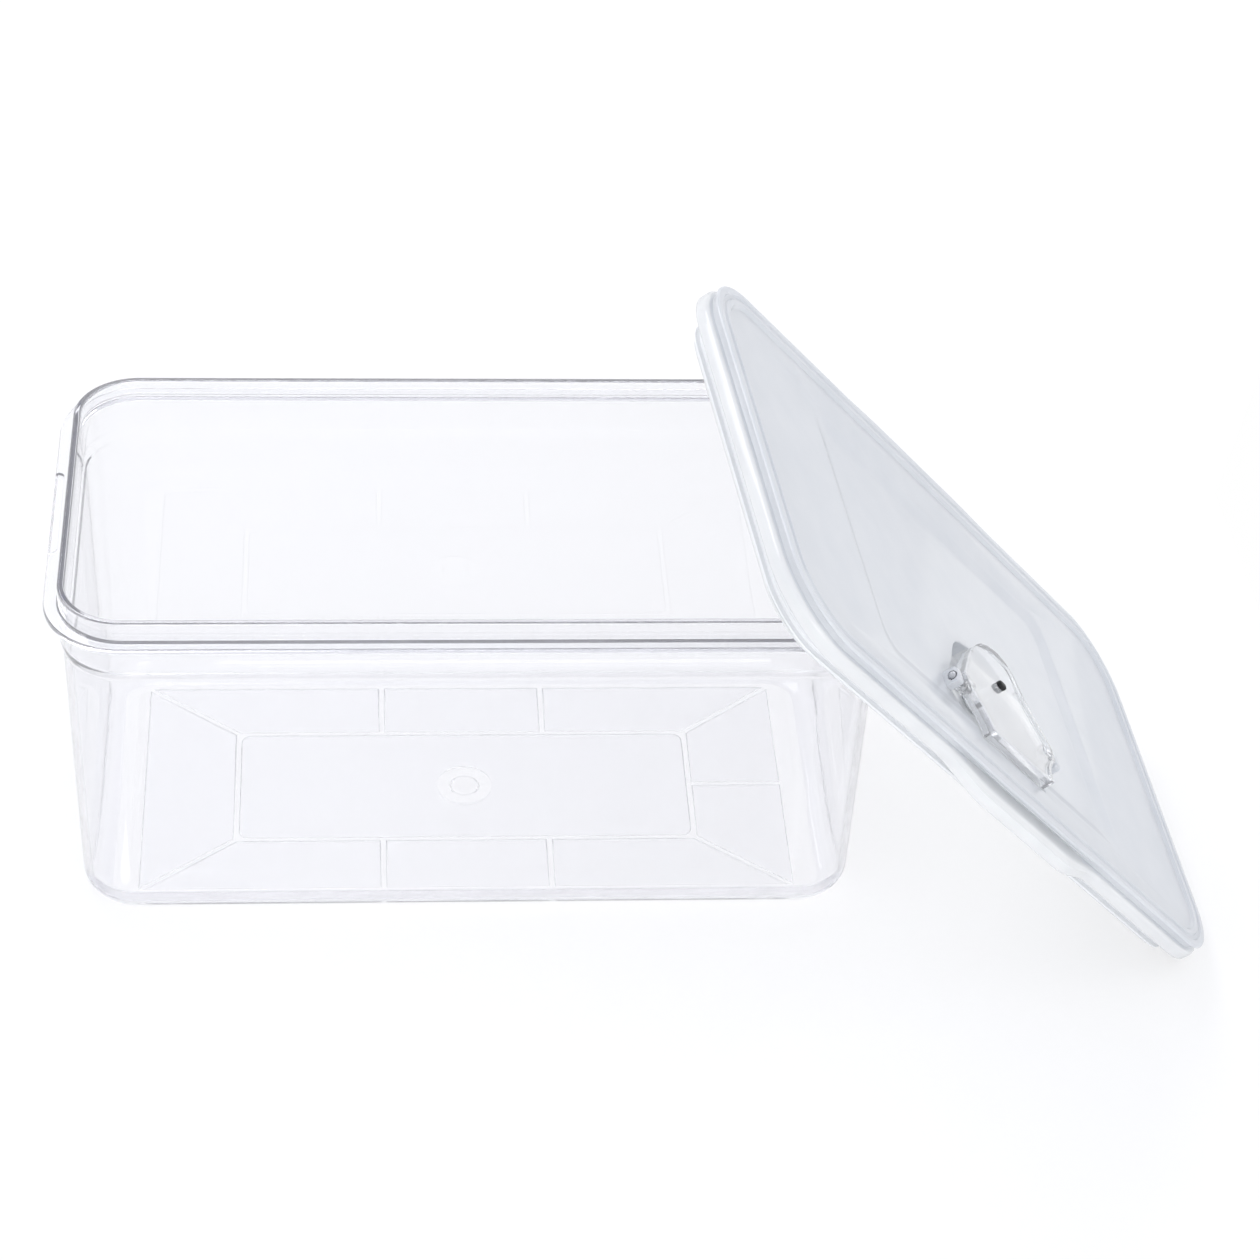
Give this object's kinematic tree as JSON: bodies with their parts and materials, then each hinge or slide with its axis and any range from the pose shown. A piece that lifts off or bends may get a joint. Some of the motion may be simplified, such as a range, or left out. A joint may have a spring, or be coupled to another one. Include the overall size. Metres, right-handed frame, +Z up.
{
  "type": "vacuum food container",
  "caption": "Clear rectangular food tub with a flanged rim; its frosted lid, with gasket, release lever and valve plug, leans against one end.",
  "frame": {"origin": "the middle of the underside of the tub, on the surface that it stands on", "axes": "+Z up, X along the tub's length with the leaning lid at the +X end, the pictured front faces -Y"},
  "size_m": [0.3632, 0.218, 0.2218],
  "materials": {
    "clear_san": "clear polished moulding",
    "frosted_pp": "milky translucent moulding with a fine satin surface",
    "white_silicone": "soft matt white silicone",
    "clear_lever_plastic": "clear polished moulding",
    "pin_steel": "drawn steel wire",
    "black_silicone": "soft black silicone"
  },
  "bodies": {
    "tub": {"tub": "clear_san"},
    "lid": {"lid": "frosted_pp", "lid_gasket": "white_silicone", "lever_pin_left": "pin_steel", "lever_pin_right": "pin_steel"},
    "lever": {"valve_lever": "clear_lever_plastic", "valve_plug": "black_silicone"}
  },
  "joints": [
    {"name": "lid_lift", "type": "slide", "parent": "tub", "child": "lid", "axis": [0, 0, 1], "range_m": [0, 0.2]},
    {"name": "lever_hinge", "type": "hinge", "parent": "lid", "child": "lever", "pos_m": [0.1558, -0.0918, 0.10684], "axis": [0.591, 0.2487, -0.7674], "range_deg": [0, 30]}
  ]
}
